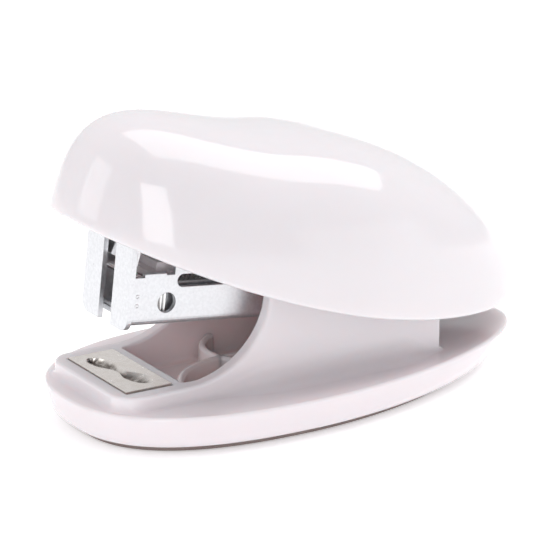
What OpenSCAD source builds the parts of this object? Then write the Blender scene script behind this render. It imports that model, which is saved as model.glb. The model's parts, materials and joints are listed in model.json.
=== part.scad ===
// Mini desk stapler for No. 10 staples, shown at rest: the top shell up, the magazine held off the anvil.
// X runs across the stapler, +Y from the jaw to the tail and +Z up; the origin is under the middle of its box.

/* [Base] */
// Half of the width across the base's crease
base_half_width = 17; // [15.5:0.5:19]
// Length of the base in front of its widest place
base_front_len = 26.6; // [25:0.1:30]
// Length of the base behind its widest place
base_rear_len = 37.2; // [33:0.1:42]
// Place of the widest section along the stapler
base_wide_y = -6; // [-7:0.5:-5]
// Height of the crease round the base
crease_z = 5.2; // [4.8:0.1:6]
// Height of the raised platform that carries the anvil
platform_z = 7; // [6.6:0.1:7.6]
// Height of the floor of the pocket behind the anvil
pocket_z = 3.4; // [3:0.1:3.8]
// Thickness of the pad under the base
pad_t = 0.7; // [0.5:0.1:1]
// Thickness of a cheek that carries the hinge pin
cheek_t = 1.9; // [1.6:0.1:2.2]
// Clearance between each cheek and the cover's lever
cheek_gap = 0.7; // [0.5:0.1:1]

/* [Hinge] */
// Place of the hinge pin along the stapler
hinge_y = 10; // [9:0.5:11]
// Height of the hinge pin
hinge_z = 14.5; // [14:0.1:16]
// Diameter of the hinge pin
pin_d = 2; // [1.6:0.1:2.4]
// Radial running clearance round the pin
pin_gap = 0.05; // [0.03:0.01:0.08]

/* [Anvil] */
// Width of the anvil plate across the stapler
anvil_w = 14.5; // [13:0.1:15]
// Length of the anvil plate along the stapler
anvil_l = 6.3; // [5.8:0.1:6.8]
// Thickness of the anvil plate
anvil_t = 0.8; // [0.6:0.1:1]
// Place of the front edge of the anvil plate
anvil_front_y = -28; // [-28.4:0.1:-27.6]

/* [Magazine] */
// Angle that the magazine is held up at rest
mag_tilt = 6.5; // [6:0.5:8]
// Distance from the hinge pin to the front face of the magazine
mag_reach = 36.6; // [35.5:0.1:37.5]
// Outer width of the magazine channel
mag_w = 11; // [10.8:0.1:11.6]
// Sheet thickness of the magazine channel
mag_t = 0.65; // [0.5:0.05:0.7]
// Height of the magazine channel's side walls
mag_h = 8.6; // [8.3:0.1:9]
// Height of the front flanges over the magazine's underside
flange_h = 11.5; // [10.5:0.1:11.6]
// Distance from the hinge pin down to the magazine's underside
mag_drop = 4.15; // [4:0.05:4.4]
// Gap between the two front flanges
flange_gap = 3; // [2.6:0.1:3.4]

/* [Staples] */
// Outer width of a staple
staple_w = 9.5; // [9.2:0.1:9.6]
// Thickness of the staple wire
staple_t = 0.5; // [0.4:0.05:0.5]
// Leg length of a staple, crown included
staple_leg = 4.7; // [4.4:0.1:4.8]
// Number of staples left in the strip
staple_count = 8; // [6:1:8]

/* [Cover] */
// Angle that the cover turns down on the magazine to drive a staple
press_angle = 10.5; // [9:0.5:11]
// Half of the width of the top shell at its edge
shell_half_width = 17.5; // [16.5:0.5:19]
// Length of the top shell in front of its widest place
shell_front_len = 33.5; // [33:0.1:37]
// Length of the top shell behind its widest place
shell_rear_len = 33.9; // [33:0.1:37]
// Height of the top shell's crest over its edge at the widest place
shell_crest = 19.3; // [18.5:0.1:22]
// Wall thickness of the top shell
shell_t = 1.3; // [1:0.1:1.6]
// Sheet thickness of the cover lever
lever_t = 0.8; // [0.6:0.1:1]

/* [Springs] */
// Wire thickness of the pusher spring
feed_wire = 0.28; // [0.25:0.01:0.32]
// Pitch of the pusher spring's turns at rest
feed_pitch = 0.64; // [0.6:0.02:0.8]
// Wire thickness of the cover spring
cover_wire = 0.45; // [0.35:0.05:0.5]

/* [Hidden] */
$fn = 48;
eps = 0.01;
// a small gap between parts that don't touch, and between parts that slide
gap = 0.1;

plastic = [0.93, 0.91, 0.93];
base_plastic = [0.89, 0.86, 0.88];
steel = [0.82, 0.83, 0.84];
nickel = [0.8, 0.78, 0.75];
spring_steel = [0.6, 0.6, 0.62];
pad_grey = [0.55, 0.5, 0.49];

// ---- shared shapes -------------------------------------------------------

// One point of an egg outline: an ellipse-like curve with its own exponent and length in front and behind.
function egg_point(angle, half, front, rear, front_n, rear_n) =
    let (c = cos(angle), s = sin(angle))
    let (n = s < 0 ? front_n : rear_n, len = s < 0 ? front : rear)
    [sign(c) * half * pow(abs(c), 2 / n), sign(s) * len * pow(abs(s), 2 / n)];

// The middle of a ring of points.
function middle(ring) = [for (k = [0:2]) let (c = [for (p = ring) p[k]]) (min(c) + max(c)) / 2];

// A closed solid through rings of equal point counts, each ring anticlockwise seen from the last one.
module loft(rings) {
    n = len(rings[0]);
    last = len(rings) - 1;
    start = n * len(rings);
    points = concat([for (ring = rings) each ring], [middle(rings[0])], [middle(rings[last])]);
    sides = [for (i = [0:last - 1], j = [0:n - 1])
        let (a = i * n + j, b = i * n + (j + 1) % n)
        each [[a, a + n, b], [b, a + n, b + n]]];
    first_cap = [for (j = [0:n - 1]) [start, j, (j + 1) % n]];
    last_cap = [for (j = [0:n - 1]) [start + 1, last * n + (j + 1) % n, last * n + j]];
    polyhedron(points = points, faces = concat(sides, first_cap, last_cap));
}

// Points on an arc in the plane.
function arc(cx, cy, r, from, to, steps) =
    [for (i = [0:steps]) let (a = from + (to - from) * i / steps) [cx + r * cos(a), cy + r * sin(a)]];

// An outline in the YZ plane, made solid between two places across the stapler.
module side_plate(x0, x1, outline) {
    translate([x0, 0, 0])
        rotate([90, 0, 90])
            linear_extrude(height = x1 - x0)
                polygon(outline);
}

// A round bar along X.
module cross_bar(d, x0, x1, y, z) {
    translate([x0, y, z])
        rotate([0, 90, 0])
            cylinder(d = d, h = x1 - x0);
}

// A round bar along Y.
module long_bar(d, y0, y1, z) {
    translate([0, y0, z])
        rotate([-90, 0, 0])
            cylinder(d = d, h = y1 - y0);
}

// A block centred across the stapler.
module block(half, y0, y1, z0, z1) {
    translate([-half, y0, z0])
        cube([2 * half, y1 - y0, z1 - z0]);
}

// A wire of round section wound round the Z axis from z = 0.
module coil(radius, wire, pitch, turns, per_turn, sides) {
    steps = turns * per_turn;
    lean = atan(pitch / (2 * PI * radius));
    function ring(i) =
        let (a = 360 * i / per_turn)
        [for (k = [0:sides - 1])
            let (b = -360 * k / sides)
            let (r = radius + wire / 2 * cos(b), up = wire / 2 * sin(b))
            [r * cos(a) + up * sin(lean) * sin(a), r * sin(a) - up * sin(lean) * cos(a),
                pitch * i / per_turn + up * cos(lean)]];
    loft([for (i = [0:steps]) ring(i)]);
}

// Puts a shape that is drawn round the hinge pin in place, with its front raised by an angle.
module at_hinge(raised) {
    translate([0, hinge_y, hinge_z])
        rotate([-raised, 0, 0])
            children();
}

module in_magazine() {
    at_hinge(mag_tilt) children();
}

module in_cover() {
    at_hinge(mag_tilt + press_angle) children();
}

// ---- base ----------------------------------------------------------------

base_points = 44;
base_front_n = 2.5;
base_rear_n = 1.8;
// how far the skirt leans in at each height, as a share of the crease height
skirt = [[0.135, 2.4], [0.17, 1.8], [0.25, 1.25], [0.42, 0.75], [0.7, 0.3], [0.95, 0.05], [1, 0.25]];

// how many times more the skirt leans in at the tail
tail_lean = 2.6;

// One ring of the base's outline, moved in by its lean and by an even inset.
function base_ring(lean, z, inset = 0) = [for (i = [0:base_points - 1])
    let (p = egg_point(360 * i / base_points, base_half_width - lean - inset, base_front_len - lean - inset,
        base_rear_len - tail_lean * lean - inset, base_front_n, base_rear_n))
    [p[0], p[1] + base_wide_y, z]];

lever_gap = 0.6;
lever_half = mag_w / 2 + lever_gap + lever_t;
// the platform is as wide as the two cheeks over their outer faces
cheek_in = lever_half + cheek_gap;
platform_half = cheek_in + cheek_t;
platform_front_y = anvil_front_y - 1.8;
platform_rear_y = hinge_y + 5.5;
platform_corner = 3;
platform_rear_corner = 0.6;
platform_ease = 0.4;
// how far the platform and the cheeks reach down into the base
sink = 1;
cheek_top = hinge_z + 4.2;
cheek_sweep = 9.2;
cheek_sweep_z = platform_z + 0.8 + cheek_sweep;
cheek_front_y = hinge_y - 19.15;
cheek_fillet = 3;
cheek_root_y = platform_front_y + 8;
// how far the hollow runs on in front of the cheek
cheek_foot_reach = 4;
cheek_front_r = 1.5;
cheek_rear_r = 3;
overlap = 0.5;
pocket_front_y = anvil_front_y + anvil_l + 1.2;
pocket_rear_y = platform_rear_y - 1.5;
rib_t = 1;
rib_top = platform_z - 0.5;
// the centre and radius of each curved rib's circle: one opens to the near side and one to the tail
rib_circles = [[10, -10.8, 9.8], [-2, -4.8, 6.3]];
rib_rear_y = -3;
wall = 1.6;
pocket_floor_t = 1.4;
// the skirt's lean for the hollow underside
hollow = [[0, 2.4], [0.17, 1.8], [0.64, 0.5]];

cheek_outline = concat(
    [[cheek_root_y, crease_z - sink], [platform_rear_y, crease_z - sink]],
    arc(platform_rear_y - cheek_rear_r, cheek_top - cheek_rear_r, cheek_rear_r, 0, 90, 6),
    arc(cheek_front_y + cheek_front_r, cheek_top - cheek_front_r, cheek_front_r, 90, 180, 4),
    arc(cheek_front_y - cheek_sweep, cheek_sweep_z, cheek_sweep, 0, -90, 10),
    [[cheek_root_y, platform_z]]);

// One ring of the slab that carries the anvil, with wide corners in front and small ones behind.
function platform_ring(z, inset) =
    let (wide = platform_corner - inset, x = platform_half - platform_corner, y = platform_front_y + platform_corner)
    let (small = platform_rear_corner - inset, rear_x = platform_half - platform_rear_corner,
        rear_y = platform_rear_y - platform_rear_corner)
    [for (p = concat(arc(x, y, wide, -90, 0, 6), arc(rear_x, rear_y, small, 0, 90, 6),
        arc(-rear_x, rear_y, small, 90, 180, 6), arc(-x, y, wide, 180, 270, 6))) [p[0], p[1], z]];

// The slab, with its upper edge eased.
module platform() {
    loft([platform_ring(crease_z - sink, 0), platform_ring(platform_z - platform_ease, 0),
        platform_ring(platform_z, platform_ease)]);
}

// The hollow that eases each cheek's outer face into the ledge.
module cheek_foot(side) {
    outer = platform_half + cheek_fillet;
    foot = concat([[platform_half - overlap, crease_z - overlap], [outer, crease_z - overlap]],
        arc(outer, crease_z + cheek_fillet, cheek_fillet, -90, -180, 6),
        [[platform_half - overlap, crease_z + cheek_fillet]]);
    mirror([side, 0, 0])
        translate([0, platform_rear_y, 0])
            rotate([90, 0, 0])
                linear_extrude(height = platform_rear_y - cheek_front_y + cheek_foot_reach)
                    polygon(foot);
}

// A thin upright wall that follows part of a circle on the pocket's floor.
module curved_rib(cx, cy, r) {
    translate([cx, cy, pocket_z - eps])
        difference() {
            cylinder(r = r + rib_t / 2, h = rib_top - pocket_z);
            translate([0, 0, -eps])
                cylinder(r = r - rib_t / 2, h = rib_top);
        }
}

module base_solid() {
    loft([for (s = skirt) base_ring(s[1], s[0] * crease_z)]);
    platform();
    for (side = [0, 1]) {
        mirror([side, 0, 0])
            side_plate(cheek_in, platform_half, cheek_outline);
        cheek_foot(side);
    }
}

module pocket_space(z) {
    block(cheek_in, pocket_front_y, pocket_rear_y, z, cheek_top);
}

module base() {
    color(base_plastic) {
        difference() {
            base_solid();
            pocket_space(pocket_z);
            block(anvil_w / 2, anvil_front_y, anvil_front_y + anvil_l, platform_z - anvil_t, platform_z + 1);
            // the underside is hollow, all but the pocket's own floor
            difference() {
                loft([for (s = hollow) base_ring(s[1], s[0] * crease_z, wall)]);
                pocket_space(pocket_z - pocket_floor_t);
            }
            cross_bar(pin_d, -platform_half - 1, platform_half + 1, hinge_y, hinge_z);
            translate([0, leaf_rivet_y, pocket_z - leaf_rivet_deep])
                cylinder(d = rivet_d, h = leaf_rivet_deep + 1);
        }
        intersection() {
            union()
                for (c = rib_circles)
                    curved_rib(c[0], c[1], c[2]);
            block(cheek_in + eps, pocket_front_y - eps, rib_rear_y, pocket_z - eps, rib_top);
        }
    }
}

pad_inset = 0.3;
pad_lean = 0.2;

module base_pad() {
    color(pad_grey)
        loft([base_ring(skirt[0][1], 0, pad_inset + pad_lean), base_ring(skirt[0][1], pad_t, pad_inset)]);
}

// ---- anvil ---------------------------------------------------------------

groove_r = 1.3;
groove_deep = 0.45;
groove_in = 1.1;
groove_out = 4.9;
groove_turn = 9;

// A round-ended trough that bends one staple leg inward.
module clinch_hollow() {
    translate([0, 0, groove_r - groove_deep]) {
        rotate([0, 90, 0])
            translate([0, 0, groove_in])
                cylinder(r = groove_r, h = groove_out - groove_in);
        for (x = [groove_in, groove_out])
            translate([x, 0, 0])
                sphere(r = groove_r);
    }
}

module anvil_plate() {
    color(nickel)
        translate([0, anvil_front_y + anvil_l / 2, platform_z - anvil_t])
            difference() {
                block(anvil_w / 2, -anvil_l / 2, anvil_l / 2, 0, anvil_t);
                for (side = [0, 1])
                    translate([0, 0, anvil_t])
                        rotate([0, 0, groove_turn + 180 * side])
                            clinch_hollow();
            }
}

// ---- hinge ---------------------------------------------------------------

retainer_d = 4;
retainer_t = 0.7;
pin_end = 0.3;

module hinge_pin() {
    reach = platform_half + gap + retainer_t + pin_end;
    color(steel)
        cross_bar(pin_d, -reach, reach, hinge_y, hinge_z);
}

module pin_retainers() {
    color(spring_steel)
        for (side = [0, 1])
            mirror([side, 0, 0])
                difference() {
                    cross_bar(retainer_d, platform_half + gap, platform_half + gap + retainer_t,
                              hinge_y, hinge_z);
                    cross_bar(pin_d, platform_half, platform_half + 2 * retainer_t, hinge_y, hinge_z);
                }
}

// ---- lift spring: a bent leaf from the pocket's floor to the magazine ----

leaf_t = 0.35;
leaf_half = 3;
leaf_anchor_y = hinge_y - 1;
leaf_bend_y = hinge_y - 5;
leaf_tip_y = hinge_y - 14;
leaf_rivet_y = leaf_anchor_y - 1.8;
leaf_rivet_deep = 1;
leaf_curve = 1.6;
leaf_steps = 12;
// the magazine's underside over the tip, less the leaf and a gap
leaf_tip_z = hinge_z + (hinge_y - leaf_tip_y) * tan(mag_tilt) - mag_drop / cos(mag_tilt) - leaf_t - gap;
leaf_rise = leaf_tip_z - pocket_z;

// The leaf's underside: flat where it is held, then an even curve up to the tip.
function leaf_z(y) = pocket_z
    + (y > leaf_bend_y ? 0 : leaf_rise * pow((leaf_bend_y - y) / (leaf_bend_y - leaf_tip_y), leaf_curve));

leaf_path = [for (i = [0:leaf_steps])
    let (y = leaf_anchor_y + (leaf_tip_y - leaf_anchor_y) * i / leaf_steps)
    [y, leaf_z(y)]];

module lift_spring() {
    upper = [for (i = [leaf_steps:-1:0]) [leaf_path[i][0], leaf_path[i][1] + leaf_t]];
    color(spring_steel)
        difference() {
            side_plate(-leaf_half, leaf_half, concat(leaf_path, upper));
            translate([0, leaf_rivet_y, 0])
                cylinder(d = rivet_d, h = hinge_z);
        }
}

module lift_spring_rivet() {
    color(steel)
        translate([0, leaf_rivet_y, pocket_z - leaf_rivet_deep]) {
            cylinder(d = rivet_d, h = leaf_rivet_deep + leaf_t);
            translate([0, 0, leaf_rivet_deep + leaf_t])
                cylinder(d = rivet_head_d, h = rivet_head);
        }
}

// ---- magazine, drawn round the hinge pin with its channel level ----------

rivet_d = 1.6;
rivet_head = 0.35;
rivet_head_d = 2.7;
mag_half = mag_w / 2;
mag_in = mag_half - mag_t;
mag_front = -mag_reach;
mag_rear = 3.4;
mag_floor = -mag_drop;
flange_dip = 0.7;
window_y = mag_front + 0.7;
window_len = 5.4;
window_h = 6.05;
slot_y = mag_front + 6.5;
slot_len = 20;
slot_h = 1.6;
slot_mid = 5.45;
port_y = mag_front + 5.25;
port_d = 2.5;
port_h = 2.8;
exit_len = 0.8;
exit_h = mag_t + 0.6;
bend_out = 0.9;
bend_in = bend_out - mag_t;
flange_r = 1.5;
// the window's lower edge steps up, then down, behind its front end
window_step_y = [window_y + 1.3, window_y + 4.25];
window_step_h = [window_h + 0.4, window_h + 0.2];

// The channel's section: a floor and two walls with bent corners, seen along the magazine.
channel_section = concat(
    [[-mag_half, flange_h]], arc(-mag_half + bend_out, bend_out, bend_out, 180, 270, 5),
    arc(mag_half - bend_out, bend_out, bend_out, 270, 360, 5), [[mag_half, flange_h], [mag_in, flange_h]],
    arc(mag_in - bend_in, bend_out, bend_in, 0, -90, 4),
    arc(-mag_in + bend_in, bend_out, bend_in, -90, -180, 4),
    [[-mag_in, flange_h]]);

// One of the two plates that close the front of the channel, with its lower outer corner rounded.
module front_flange(side) {
    outline = concat([[flange_gap / 2, -flange_dip]],
        arc(mag_half - flange_r, flange_r - flange_dip, flange_r, -90, 0, 6),
        [[mag_half, flange_h], [flange_gap / 2, flange_h]]);
    mirror([side, 0, 0])
        translate([0, mag_front + mag_t, mag_floor])
            rotate([90, 0, 0])
                linear_extrude(height = mag_t)
                    polygon(outline);
}

// The openings in both side walls, as one outline seen from the side.
module window_cut() {
    rear = window_y + window_len;
    outline = [[window_y, window_h], [window_step_y[0], window_h],
        [window_step_y[0], window_step_h[0]], [window_step_y[1], window_step_h[0]],
        [window_step_y[1], window_step_h[1]], [rear, window_step_h[1]],
        [rear, flange_h + 1], [window_y, flange_h + 1]];
    translate([0, 0, mag_floor])
        side_plate(-mag_half - 1, mag_half + 1, outline);
}

module slot_cut() {
    translate([0, 0, mag_floor + slot_mid]) {
        cross_bar(slot_h, -mag_half - 1, mag_half + 1, slot_y + slot_h / 2, 0);
        cross_bar(slot_h, -mag_half - 1, mag_half + 1, slot_y + slot_len, 0);
        block(mag_half + 1, slot_y + slot_h / 2, slot_y + slot_len, -slot_h / 2, slot_h / 2);
    }
}

module rivet_holes(d) {
    for (y = rail_rivet_y)
        translate([0, y, mag_floor - 1])
            cylinder(d = d, h = 3);
}

module magazine_channel() {
    color(steel)
        in_magazine() {
            difference() {
                translate([0, mag_rear, mag_floor])
                    rotate([90, 0, 0])
                        linear_extrude(height = mag_rear - mag_front - mag_t + eps)
                            polygon(channel_section);
                // behind the window the walls are lower than the front flanges
                block(mag_half + 1, window_y + window_len - eps, mag_rear + 1,
                    mag_floor + mag_h, mag_floor + flange_h + 1);
                window_cut();
                slot_cut();
                cross_bar(port_d, -mag_half - 1, mag_half + 1, port_y, mag_floor + port_h);
                // the way out for a driven staple
                block(mag_in - gap, mag_front - 1, mag_front + mag_t + exit_len,
                      mag_floor - 1, mag_floor + exit_h);
                cross_bar(pin_d + 2 * pin_gap, -mag_half - 1, mag_half + 1, 0, 0);
                rivet_holes(rivet_d);
            }
            front_flange(0);
            front_flange(1);
        }
}

// ---- staple rail: an open channel inside the magazine --------------------

rail_half = staple_w / 2 - staple_t - 0.15;
rail_t = 0.5;
rail_front = mag_front + mag_t + exit_len + gap;
rail_rear = -5;
rail_top = mag_t + staple_leg - 0.45;
rail_rivet_y = [-mag_reach + 10, -7.5];

module staple_rail() {
    color(steel)
        in_magazine()
            translate([0, 0, mag_floor])
                difference() {
                    block(rail_half, rail_front, rail_rear, mag_t, rail_top);
                    block(rail_half - rail_t, rail_front - 1, rail_rear + 1, mag_t + rail_t, rail_top + 1);
                    translate([0, 0, -mag_floor])
                        rivet_holes(rivet_d);
                }
}

module rail_rivets() {
    color(steel)
        in_magazine()
            for (y = rail_rivet_y)
                translate([0, y, mag_floor]) {
                    translate([0, 0, -rivet_head])
                        cylinder(d = rivet_head_d, h = rivet_head);
                    cylinder(d = rivet_d, h = mag_t + rail_t);
                    translate([0, 0, mag_t + rail_t])
                        cylinder(d = rivet_head_d, h = rivet_head);
                }
}

// ---- staples -------------------------------------------------------------

crown_z = rail_top + gap;
strip_front = rail_front;
// the staples are glued with a little between them
strip_rear = strip_front + staple_count * staple_t * 1.05;

module staple_strip() {
    color(steel)
        in_magazine()
            translate([0, 0, mag_floor]) {
                block(staple_w / 2, strip_front, strip_rear, crown_z, crown_z + staple_t);
                for (side = [0, 1])
                    mirror([side, 0, 0])
                        translate([staple_w / 2 - staple_t, strip_front, crown_z + staple_t - staple_leg])
                            cube([staple_t, strip_rear - strip_front, staple_leg]);
            }
}

// ---- pusher and its spring -----------------------------------------------

pusher_t = 1.1;
pusher_front = strip_rear + gap / 2;
pusher_rear = pusher_front + pusher_t;
pusher_half = mag_in - 0.2;
nose_half = staple_w / 2 - 0.9;
nose_low = crown_z + staple_t + gap;
nose_step = 0.8;
nose_top = 7.4;
nose_lip_y = pusher_front - 2.6;
nose_face_y = pusher_front - 1.4;
keel_half = rail_half - rail_t - 0.2;
keel_low = mag_t + rail_t + 0.5;
rod_gap = 0.2;
rod_d = 1.1;
rod_z = slot_mid;
bracket_y = -4;
bracket_t = 0.6;
bracket_drop = 0.3;
rod_end = 0.4;
feed_r = 1.55;

module pusher() {
    color(plastic)
        in_magazine()
            translate([0, 0, mag_floor])
                difference() {
                    union() {
                        block(pusher_half, pusher_front, pusher_rear, crown_z - gap / 2, nose_low + nose_step);
                        block(keel_half, pusher_front, pusher_rear, keel_low, crown_z);
                        block(nose_half, nose_lip_y, pusher_front + eps, nose_low, nose_low + nose_step);
                        block(nose_half, nose_face_y, pusher_rear, nose_low + nose_step - eps, nose_top);
                    }
                    long_bar(rod_d + 2 * rod_gap, nose_lip_y - 1, pusher_rear + 1, rod_z);
                }
}

module pusher_spring() {
    length = bracket_y - pusher_rear - 2 * feed_wire - 2 * gap;
    turns = floor(length / feed_pitch);
    color(spring_steel)
        in_magazine()
            translate([0, pusher_rear + feed_wire + gap, mag_floor + rod_z])
                rotate([-90, 0, 0])
                    coil(feed_r, feed_wire, length / turns, turns, 10, 5);
}

module spring_rod() {
    color(steel)
        in_magazine()
            translate([0, 0, mag_floor])
                long_bar(rod_d, pusher_rear + rod_gap, bracket_y + bracket_t + rod_end, rod_z);
}

module rear_bracket() {
    color(steel)
        in_magazine()
            translate([0, 0, mag_floor])
                difference() {
                    block(mag_in - bend_in, bracket_y, bracket_y + bracket_t, mag_t, mag_h - bracket_drop);
                    long_bar(rod_d, bracket_y - 1, bracket_y + bracket_t + 1, rod_z);
                }
}

// ---- seat and spring that lift the cover off the magazine -----------------

seat_y = -20.5;
seat_len = 7;
seat_t = 0.5;
seat_top = mag_floor + mag_h + seat_t;
cover_spring_r = 2.1;
cover_spring_turns = 4;
seat_boss_r = cover_spring_r - cover_wire / 2 - 0.3;
seat_boss_h = 0.6;

module spring_seat() {
    color(steel)
        in_magazine() {
            block(mag_half, seat_y - seat_len / 2, seat_y + seat_len / 2, seat_top - seat_t, seat_top);
            translate([0, seat_y, seat_top - eps])
                cylinder(r = seat_boss_r, h = seat_boss_h);
        }
}

module cover_spring() {
    half = press_angle / 2;
    low = seat_top * cos(half) + seat_y * sin(half);
    high = lever_z * cos(half) - seat_y * sin(half);
    lean = (cover_spring_r + cover_wire) * tan(half);
    length = high - low - 2 * lean - cover_wire - 2 * gap;
    color(spring_steel)
        at_hinge(mag_tilt + half)
            translate([0, seat_y * cos(half) - seat_top * sin(half), low + lean + cover_wire / 2 + gap])
                coil(cover_spring_r, cover_wire, length / cover_spring_turns, cover_spring_turns, 20, 8);
}

// ---- cover, drawn round the hinge pin as it lies with the cover pressed ---

lever_z = mag_floor + flange_h + 0.25;
lever_top = lever_z + lever_t;
lever_front = mag_front + 2;
ear_r = 3;
blade_t = 0.4;
blade_front = mag_front + mag_t + 0.25;
blade_half = mag_in - 0.2;
blade_low = mag_floor + 0.75;
holder_half = 4.2;
holder_front = blade_front + blade_t + gap;
holder_rear = holder_front + 5.2;
holder_wall = 1;
holder_low = mag_floor + nose_top + 0.35;
screw_d = 1.6;
screw_head_d = 3;
screw_head = 0.7;
screw_y = [-27.5, -8];
lever_rivet_x = 2.4;
lever_rivet_y = holder_front + 2.8;
lever_rivet_deep = 2.2;

// the side plate's lower edge drops towards the ear round the pin
lever_side = concat([[lever_front + 1, lever_top], [lever_front + 1, lever_z - 1.6], [-12, lever_z - 3.6]],
    arc(0, 0, ear_r, 225, 360, 8), [[ear_r, lever_top]]);

module lever_holes(d) {
    for (x = [-lever_rivet_x, lever_rivet_x])
        translate([x, lever_rivet_y, lever_z - lever_rivet_deep])
            cylinder(d = d, h = lever_rivet_deep + lever_t + eps);
}

module cover_lever() {
    color(steel)
        in_cover()
            difference() {
                union() {
                    block(lever_half, lever_front, ear_r, lever_z, lever_top);
                    block(blade_half, blade_front + blade_t, lever_front + eps, lever_z, lever_top);
                    for (side = [0, 1])
                        mirror([side, 0, 0])
                            side_plate(lever_half - lever_t, lever_half, lever_side);
                }
                cross_bar(pin_d + 2 * pin_gap, -lever_half - 1, lever_half + 1, 0, 0);
                lever_holes(rivet_d);
                for (y = screw_y)
                    translate([0, y, lever_z - 1])
                        cylinder(d = screw_d, h = 3);
            }
}

module driver_blade() {
    color(steel)
        in_cover()
            block(blade_half, blade_front, blade_front + blade_t, blade_low, lever_top);
}

module driver_holder() {
    color(plastic)
        in_cover()
            difference() {
                block(holder_half, holder_front, holder_rear, holder_low, lever_z);
                block(holder_half - holder_wall, holder_rear - holder_wall, holder_rear + 1,
                    holder_low - 1, lever_z - holder_wall);
                lever_holes(rivet_d);
            }
}

module lever_rivets() {
    color(steel)
        in_cover() {
            lever_holes(rivet_d);
            for (x = [-lever_rivet_x, lever_rivet_x])
                translate([x, lever_rivet_y, lever_top])
                    cylinder(d = rivet_head_d, h = rivet_head);
        }
}

// ---- top shell: one smooth dome over the whole mechanism ------------------

// where the middle of the dome lies, seen from the hinge pin
shell_forward = 11.35;
shell_drop = 3.1;
shell_rise = 2.9;
shell_fall = 5.2;
hump_y = 8;
hump_rise = 0.0185;
shell_points = 44;
shell_front_n = 2.05;
shell_rear_n = 1.75;
wall_n = 2.8;

// Height of the shell's edge, and of the crest line that the dome is drawn to.
function edge_z(y) = shell_rise * pow(y / 30, 2);
function crest_z(y) = shell_crest - shell_fall * pow(y / 30, 2)
    + (y < -hump_y ? hump_rise * pow(y + hump_y, 2) : 0);

// One ring of the dome: lift 0 is the edge and 90 the crest.
function shell_ring(lift, t) = [for (i = [0:shell_points - 1])
    let (out = pow(cos(lift), 2 / wall_n), up = pow(sin(lift), 2 / wall_n))
    let (p = egg_point(360 * i / shell_points, out * (shell_half_width - t), out * (shell_front_len - t),
        out * (shell_rear_len - t), shell_front_n, shell_rear_n))
    [p[0], p[1], edge_z(p[1]) + up * (crest_z(p[1]) - t - edge_z(p[1]))]];

shell_lifts = [89, 75, 60, 46, 33, 22, 13, 6, 2, 0];
boss_d = 4.4;
screw_grip = 4;

// Height over the hinge of the middle of the shell's wall, at a place seen from the hinge.
function shell_wall_z(y) =
    let (along = y + shell_forward, len = along < 0 ? shell_front_len : shell_rear_len)
    let (up = pow(1 - pow(abs(along) / len, wall_n), 1 / wall_n))
    edge_z(along) + up * (crest_z(along) - edge_z(along)) - shell_t / 2 - shell_drop;

module top_shell() {
    rings = concat([for (lift = shell_lifts) shell_ring(lift, shell_t)],
        [for (i = [len(shell_lifts) - 1:-1:0]) shell_ring(shell_lifts[i], 0)]);
    color(plastic)
        in_cover()
            difference() {
                union() {
                    translate([0, -shell_forward, -shell_drop])
                        loft(rings);
                    for (y = screw_y)
                        translate([0, y, lever_top])
                            cylinder(d = boss_d, h = shell_wall_z(y) - lever_top);
                }
                for (y = screw_y)
                    translate([0, y, lever_top - 1])
                        cylinder(d = screw_d, h = screw_grip + 1);
            }
}

module shell_screws() {
    color(steel)
        in_cover()
            for (y = screw_y)
                translate([0, y, 0]) {
                    translate([0, 0, lever_z - screw_head])
                        cylinder(d = screw_head_d, h = screw_head);
                    translate([0, 0, lever_z])
                        cylinder(d = screw_d, h = lever_t + screw_grip);
                }
}

base();
base_pad();
anvil_plate();
hinge_pin();
pin_retainers();
lift_spring();
lift_spring_rivet();
magazine_channel();
staple_rail();
rail_rivets();
staple_strip();
spring_rod();
rear_bracket();
spring_seat();
pusher();
pusher_spring();
cover_lever();
driver_blade();
driver_holder();
lever_rivets();
cover_spring();
top_shell();
shell_screws();
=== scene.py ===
"""Small domed desk stapler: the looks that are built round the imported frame.

Lengths inside the classes are in millimetres, in the frame's axes, and become metres as a mesh is made.
"""

import json
import logging
import math
from dataclasses import dataclass, field, replace
from enum import Enum
from typing import Callable, Optional, Sequence

import bmesh
import bpy
from mathutils import Matrix, Vector


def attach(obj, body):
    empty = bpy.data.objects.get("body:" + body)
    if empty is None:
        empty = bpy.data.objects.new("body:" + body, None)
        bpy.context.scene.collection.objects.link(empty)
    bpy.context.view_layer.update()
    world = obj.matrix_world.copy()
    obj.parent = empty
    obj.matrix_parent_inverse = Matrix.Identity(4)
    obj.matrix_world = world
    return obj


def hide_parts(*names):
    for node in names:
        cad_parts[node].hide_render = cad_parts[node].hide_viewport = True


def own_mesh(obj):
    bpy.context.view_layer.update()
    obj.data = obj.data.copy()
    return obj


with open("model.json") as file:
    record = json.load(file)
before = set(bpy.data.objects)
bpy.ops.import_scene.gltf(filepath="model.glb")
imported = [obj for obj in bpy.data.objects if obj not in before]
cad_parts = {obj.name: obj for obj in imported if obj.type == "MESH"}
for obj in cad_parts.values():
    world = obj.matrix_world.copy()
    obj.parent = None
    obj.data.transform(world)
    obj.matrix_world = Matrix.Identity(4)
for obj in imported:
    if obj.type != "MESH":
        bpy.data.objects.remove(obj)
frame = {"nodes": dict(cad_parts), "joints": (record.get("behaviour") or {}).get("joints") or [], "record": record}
LOG = logging.getLogger("stapler")
MM = 0.001
Point = tuple[float, float, float]
Flat = tuple[float, float]
Colour = tuple[float, float, float]


class Body(Enum):
    """The moving bodies that the new pieces ride on."""

    BASE = "base"
    MAGAZINE = "magazine"
    COVER = "cover"


class Slot(Enum):
    """The material slots of the record."""

    SHELL = "shell_plastic"
    BASE = "base_plastic"
    INNER = "inner_plastic"
    PAD = "pad"
    SHEET = "sheet_steel"
    ANVIL = "anvil_nickel"
    PIN = "pin_steel"
    SPRING = "spring_steel"
    STAPLE = "staple_wire"


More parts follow.
